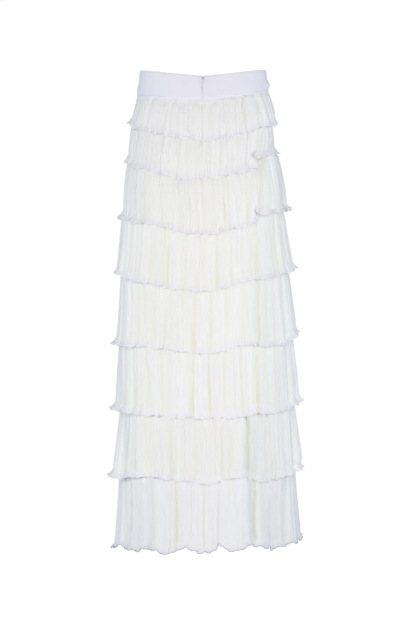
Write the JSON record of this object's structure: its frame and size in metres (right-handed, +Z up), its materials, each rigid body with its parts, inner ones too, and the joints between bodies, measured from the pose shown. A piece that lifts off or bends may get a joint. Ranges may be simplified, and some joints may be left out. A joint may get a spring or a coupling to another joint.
{
  "type": "tiered ruffle skirt",
  "caption": "Floor-length tiered ruffle skirt of pleated chiffon on a plain firm waistband with a zip at the centre back, filled out as if worn and open at waist and hem.",
  "frame": {"origin": "centre of the waist opening, level with its highest edge, where the wearer's waist holds the skirt", "axes": "+Z up out of the waist, -Y towards the skirt's back with its zip, +X towards the wearer's right side"},
  "size_m": [0.4132, 0.3197, 0.9998],
  "materials": {
    "waistband": "smooth lavender-white satin crepe",
    "chiffon": "finely pleated warm white chiffon",
    "zip_tape": "woven polyester tape",
    "zip_metal": "grey-lavender enamel"
  },
  "bodies": {
    "skirt": {"waistband": "waistband", "zip_tape_left": "zip_tape", "zip_tape_right": "zip_tape", "zip_slider": "zip_metal", "tier_1_back_left": "chiffon", "tier_1_back_right": "chiffon", "tier_1_front": "chiffon", "tier_2_back_left": "chiffon", "tier_2_back_right": "chiffon", "tier_2_front": "chiffon", "tier_3_back": "chiffon", "tier_3_front": "chiffon", "tier_4_back": "chiffon", "tier_4_front": "chiffon", "tier_5_back": "chiffon", "tier_5_front": "chiffon", "tier_6_back": "chiffon", "tier_6_front": "chiffon", "tier_7_back": "chiffon", "tier_7_front": "chiffon", "tier_8_back": "chiffon", "tier_8_front": "chiffon"},
    "pull_tab": {"zip_pull_tab": "zip_metal"}
  },
  "joints": [
    {"name": "pull_tab_turn", "type": "hinge", "parent": "skirt", "child": "pull_tab", "pos_m": [0, -0.1002, -0.02566], "axis": [-1, 0, 0], "range_deg": [0, 170]}
  ]
}
